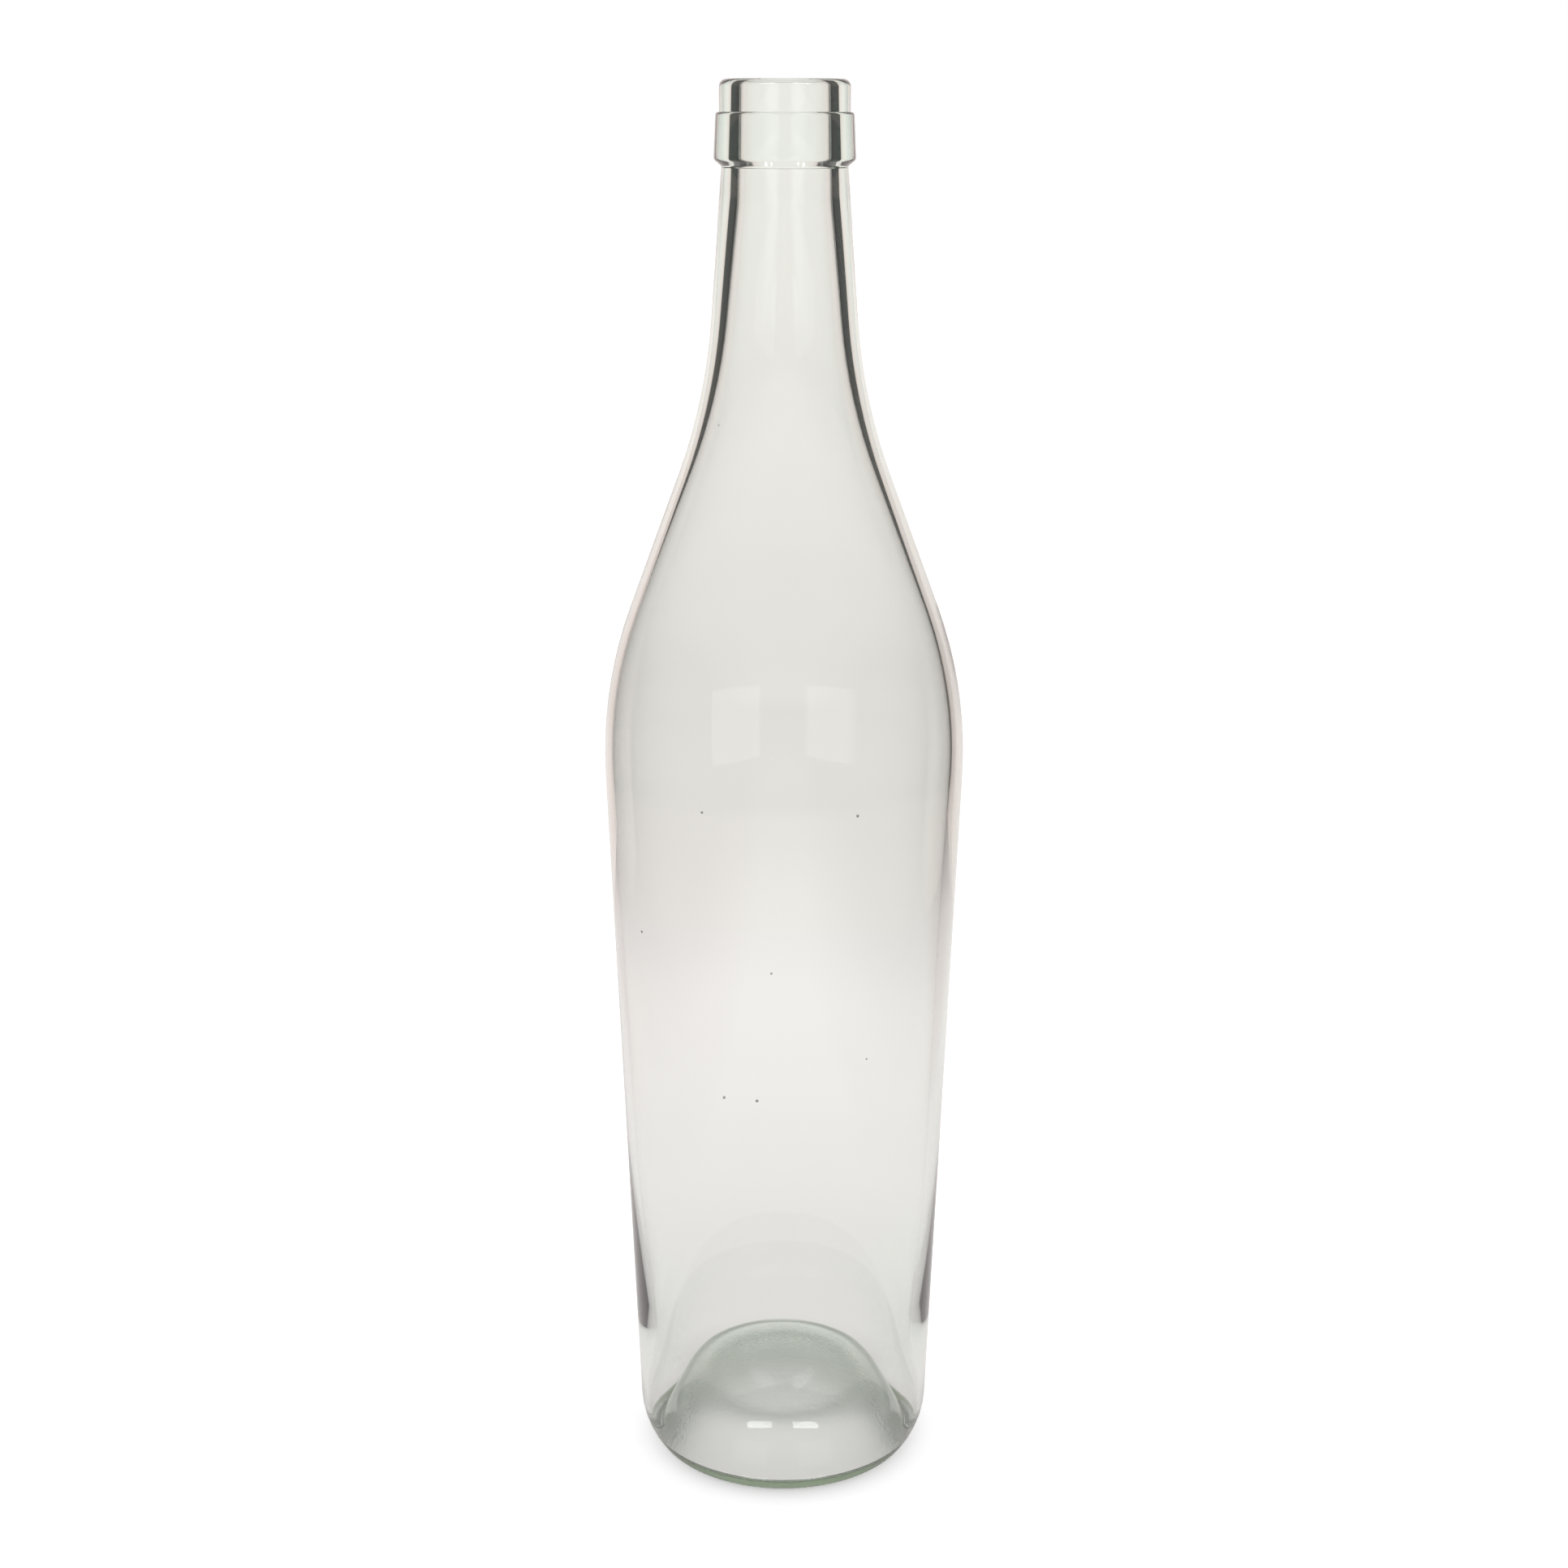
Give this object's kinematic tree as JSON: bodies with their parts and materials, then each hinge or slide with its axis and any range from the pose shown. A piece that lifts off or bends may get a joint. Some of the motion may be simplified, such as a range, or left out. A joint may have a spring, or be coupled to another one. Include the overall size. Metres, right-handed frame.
{
  "type": "glass bottle",
  "caption": "Empty clear glass bottle with a cork finish, a long sloping shoulder, a body that tapers to the base, and a punt.",
  "frame": {"origin": "centre of the bearing ring that the bottle stands on, on the plane of the table", "axes": "+Z along the bottle's axis, out of the mouth; the bottle is round, and +X and +Y are any two directions across it"},
  "size_m": [0.0778, 0.0778, 0.3044],
  "materials": {
    "clear_glass": "clear flint glass with a faint green tint in its thick parts, fire polished"
  },
  "bodies": {
    "root": {"bottle": "clear_glass"}
  },
  "joints": []
}
